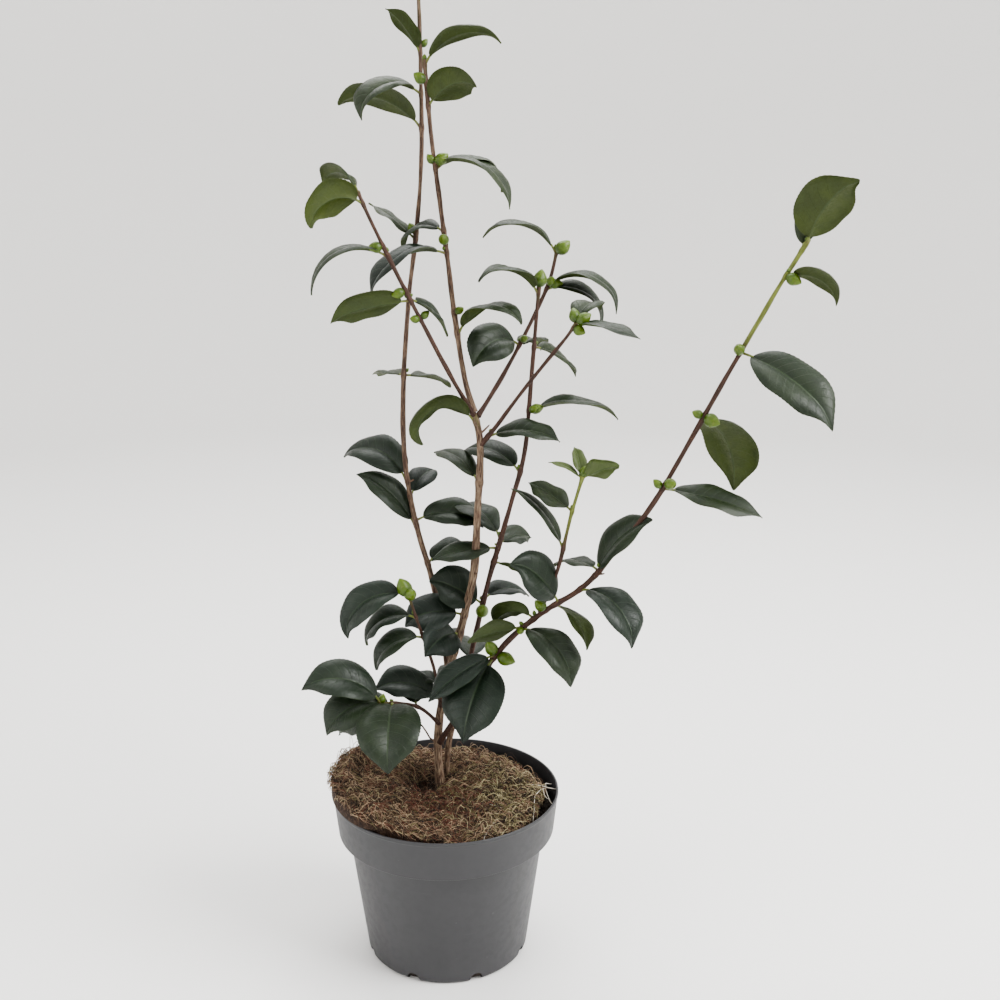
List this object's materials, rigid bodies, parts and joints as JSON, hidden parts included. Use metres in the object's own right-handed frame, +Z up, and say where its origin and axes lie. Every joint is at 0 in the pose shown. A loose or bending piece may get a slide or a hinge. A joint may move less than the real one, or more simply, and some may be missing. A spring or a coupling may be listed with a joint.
{
  "type": "camellia shrub in a nursery pot",
  "caption": "Young upright camellia with slender stems, glossy oval leaves and green flower buds, in a round plastic nursery pot topped with a coconut-fibre mat.",
  "frame": {"origin": "centre of the pot's flat underside", "axes": "+Z up along the pot's axis, +X to the viewer's right along the long bough, +Y away from the viewer"},
  "size_m": [0.4835, 0.238, 0.9939],
  "materials": {
    "pot_plastic": "smooth matte grey moulded plastic",
    "soil": "dark crumbly peat with fine roots",
    "coir": "dry tangled coconut fibre",
    "bark": "light brown streaked bark",
    "dark_bark": "dark reddish-brown bark",
    "young_bark": "yellow-green young bark",
    "leaf": "leathery glossy evergreen leaf"
  },
  "bodies": {
    "root": {"pot": "pot_plastic", "root_ball": "soil", "fibre_mat": "coir", "main_stem": "bark", "second_stem": "dark_bark", "tall_stem": "bark", "long_bough": "dark_bark", "leader": "bark", "left_bough": "dark_bark", "back_bough": "dark_bark", "front_bough": "dark_bark", "upright_twig": "young_bark", "low_twig": "dark_bark", "low_spur": "dark_bark", "foliage_tall_tip": "leaf", "foliage_tall_top": "leaf", "foliage_tall_high": "leaf", "foliage_tall_pair": "leaf", "foliage_tall_left": "leaf", "foliage_tall_low": "leaf", "foliage_leader_tip": "leaf", "foliage_leader_high": "leaf", "foliage_leader_middle": "leaf", "foliage_leader_low": "leaf", "foliage_left_tip": "leaf", "foliage_left_low": "leaf", "foliage_back_tip": "leaf", "foliage_back_low": "leaf", "foliage_front_tip": "leaf", "foliage_front_low": "leaf", "foliage_second_tip": "leaf", "foliage_second_high": "leaf", "foliage_second_middle": "leaf", "foliage_second_low": "leaf", "foliage_second_inner": "leaf", "foliage_second_foot": "leaf", "foliage_main_fork": "leaf", "foliage_main_middle": "leaf", "foliage_main_low": "leaf", "foliage_main_foot": "leaf", "foliage_long_tip": "leaf", "foliage_long_high": "leaf", "foliage_long_middle": "leaf", "foliage_long_outer": "leaf", "foliage_long_inner": "leaf", "foliage_long_lower": "leaf", "foliage_long_near": "leaf", "foliage_long_foot": "leaf", "foliage_twig_tip": "leaf", "foliage_twig_foot": "leaf", "foliage_low_tip": "leaf", "foliage_low_foot": "leaf", "foliage_low_spur": "leaf"}
  },
  "joints": []
}
